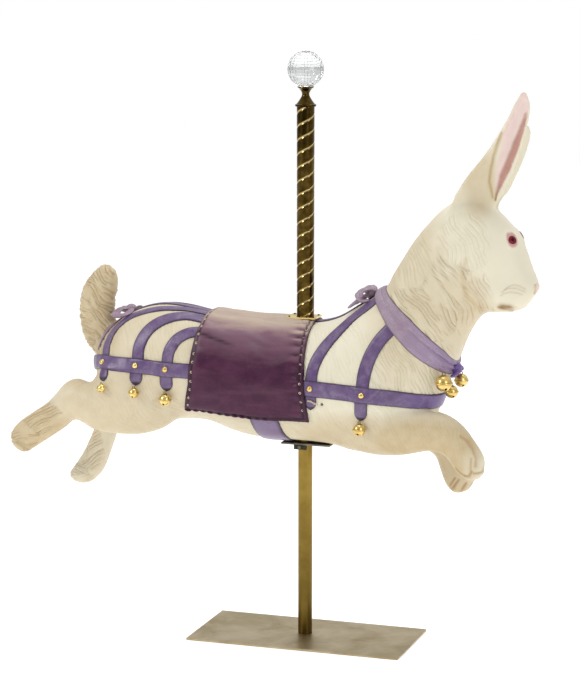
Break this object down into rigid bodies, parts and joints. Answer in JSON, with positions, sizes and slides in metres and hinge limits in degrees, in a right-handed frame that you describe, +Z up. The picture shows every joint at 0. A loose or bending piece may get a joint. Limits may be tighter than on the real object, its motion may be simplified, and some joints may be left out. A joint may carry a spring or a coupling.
{
  "type": "carousel figure on stand",
  "caption": "Leaping carousel rabbit in painted carved wood with harness, saddle pad and bells, on a brass pole with a rectangular base plate and crystal finial.",
  "frame": {"origin": "on the pole's axis, on the underside of the base plate", "axes": "+X towards the rabbit's head, +Y to the rabbit's left, +Z up along the pole"},
  "size_m": [1.4435, 0.3483, 1.57],
  "materials": {
    "cream_paint": "painted carved wood, satin, shaded tan in the carving",
    "eye_glass": "dark red glass eye, polished",
    "plum_leather": "worn padded leather, semi-gloss",
    "purple_straps": "painted strap leather, satin, crazed",
    "lavender_ribbon": "painted carved ribbon, satin, worn",
    "lace": "pale rawhide lace",
    "bright_brass": "polished",
    "aged_brass": "polished, darkened in the grooves",
    "pipe_brass": "brushed, dulled",
    "dull_bronze": "dull bronze finish, brushed",
    "crystal": "clear cut crystal",
    "dark_steel": "dull dark",
    "black_rubber": "matt"
  },
  "bodies": {
    "root": {"base_plate": "dull_bronze", "bell_flank_far": "bright_brass", "bell_flank_near": "bright_brass", "bell_hip_far": "bright_brass", "bell_hip_near": "bright_brass", "bell_rump_far": "bright_brass", "bell_rump_near": "bright_brass", "bell_shoulder_far": "bright_brass", "bell_shoulder_near": "bright_brass", "belly_clamp": "black_rubber", "belly_packing": "black_rubber", "belly_plate": "dark_steel", "clamp_bolt": "dark_steel", "croup_bow": "lavender_ribbon", "crupper": "lavender_ribbon", "crystal_ball": "crystal", "eye_far": "eye_glass", "eye_near": "eye_glass", "finial": "aged_brass", "girth": "purple_straps", "harness_front": "purple_straps", "harness_rear": "purple_straps", "nape_bow": "lavender_ribbon", "neck_ribbon": "lavender_ribbon", "pad_tack": "dark_steel", "pad_tie": "lace", "plate_screw_1": "aged_brass", "plate_screw_2": "aged_brass", "plate_screw_3": "aged_brass", "plate_screw_4": "aged_brass", "pole_pipe": "pipe_brass", "pole_plate": "aged_brass", "pole_sleeve": "aged_brass", "rabbit": "cream_paint", "ribbon_knot": "purple_straps", "saddle_pad": "plum_leather", "stud_breast_1_far": "bright_brass", "stud_breast_1_near": "bright_brass", "stud_breast_2_far": "bright_brass", "stud_breast_2_near": "bright_brass", "stud_rump_1_far": "bright_brass", "stud_rump_1_near": "bright_brass", "stud_rump_2_far": "bright_brass", "stud_rump_2_near": "bright_brass", "stud_rump_3_far": "bright_brass", "stud_rump_3_near": "bright_brass", "throat_bell_far": "bright_brass", "throat_bell_low": "bright_brass", "throat_bell_near": "bright_brass", "withers_strap": "purple_straps"}
  },
  "joints": []
}
